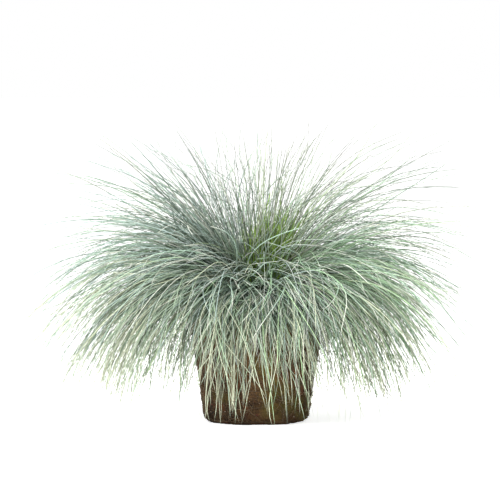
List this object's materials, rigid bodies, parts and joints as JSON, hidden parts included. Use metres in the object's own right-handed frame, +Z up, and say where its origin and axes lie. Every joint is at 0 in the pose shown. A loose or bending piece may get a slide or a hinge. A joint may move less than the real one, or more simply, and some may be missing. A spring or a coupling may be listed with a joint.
{
  "type": "blue fescue clump with bare root ball",
  "caption": "Blue fescue grass clump with fine arching grey-green blades, out of its pot and standing on its tapered, pot-shaped root ball.",
  "frame": {"origin": "middle of the root ball's flat underside", "axes": "+Z up along the clump's axis, -Y towards the front, +X to the right seen from the front"},
  "size_m": [0.4381, 0.3829, 0.3033],
  "materials": {
    "compost": "matte",
    "thatch": "matte",
    "fescue_blade": "satin"
  },
  "bodies": {
    "root": {"root_ball": "compost", "crown": "thatch", "tuft_heart_01": "fescue_blade", "tuft_heart_02": "fescue_blade", "tuft_heart_03": "fescue_blade", "tuft_upright_01": "fescue_blade", "tuft_upright_02": "fescue_blade", "tuft_upright_03": "fescue_blade", "tuft_upright_04": "fescue_blade", "tuft_upright_05": "fescue_blade", "tuft_upright_06": "fescue_blade", "tuft_rising_01": "fescue_blade", "tuft_rising_02": "fescue_blade", "tuft_rising_03": "fescue_blade", "tuft_rising_04": "fescue_blade", "tuft_rising_05": "fescue_blade", "tuft_rising_06": "fescue_blade", "tuft_rising_07": "fescue_blade", "tuft_rising_08": "fescue_blade", "tuft_spreading_01": "fescue_blade", "tuft_spreading_02": "fescue_blade", "tuft_spreading_03": "fescue_blade", "tuft_spreading_04": "fescue_blade", "tuft_spreading_05": "fescue_blade", "tuft_spreading_06": "fescue_blade", "tuft_spreading_07": "fescue_blade", "tuft_spreading_08": "fescue_blade", "tuft_spreading_09": "fescue_blade", "tuft_spreading_10": "fescue_blade", "tuft_arching_01": "fescue_blade", "tuft_arching_02": "fescue_blade", "tuft_arching_03": "fescue_blade", "tuft_arching_04": "fescue_blade", "tuft_arching_05": "fescue_blade", "tuft_arching_06": "fescue_blade", "tuft_arching_07": "fescue_blade", "tuft_arching_08": "fescue_blade", "tuft_arching_09": "fescue_blade", "tuft_arching_10": "fescue_blade", "tuft_arching_11": "fescue_blade", "tuft_drooping_01": "fescue_blade", "tuft_drooping_02": "fescue_blade", "tuft_drooping_03": "fescue_blade", "tuft_drooping_04": "fescue_blade", "tuft_drooping_05": "fescue_blade", "tuft_drooping_06": "fescue_blade", "tuft_drooping_07": "fescue_blade", "tuft_drooping_08": "fescue_blade", "tuft_drooping_09": "fescue_blade", "tuft_drooping_10": "fescue_blade"}
  },
  "joints": []
}
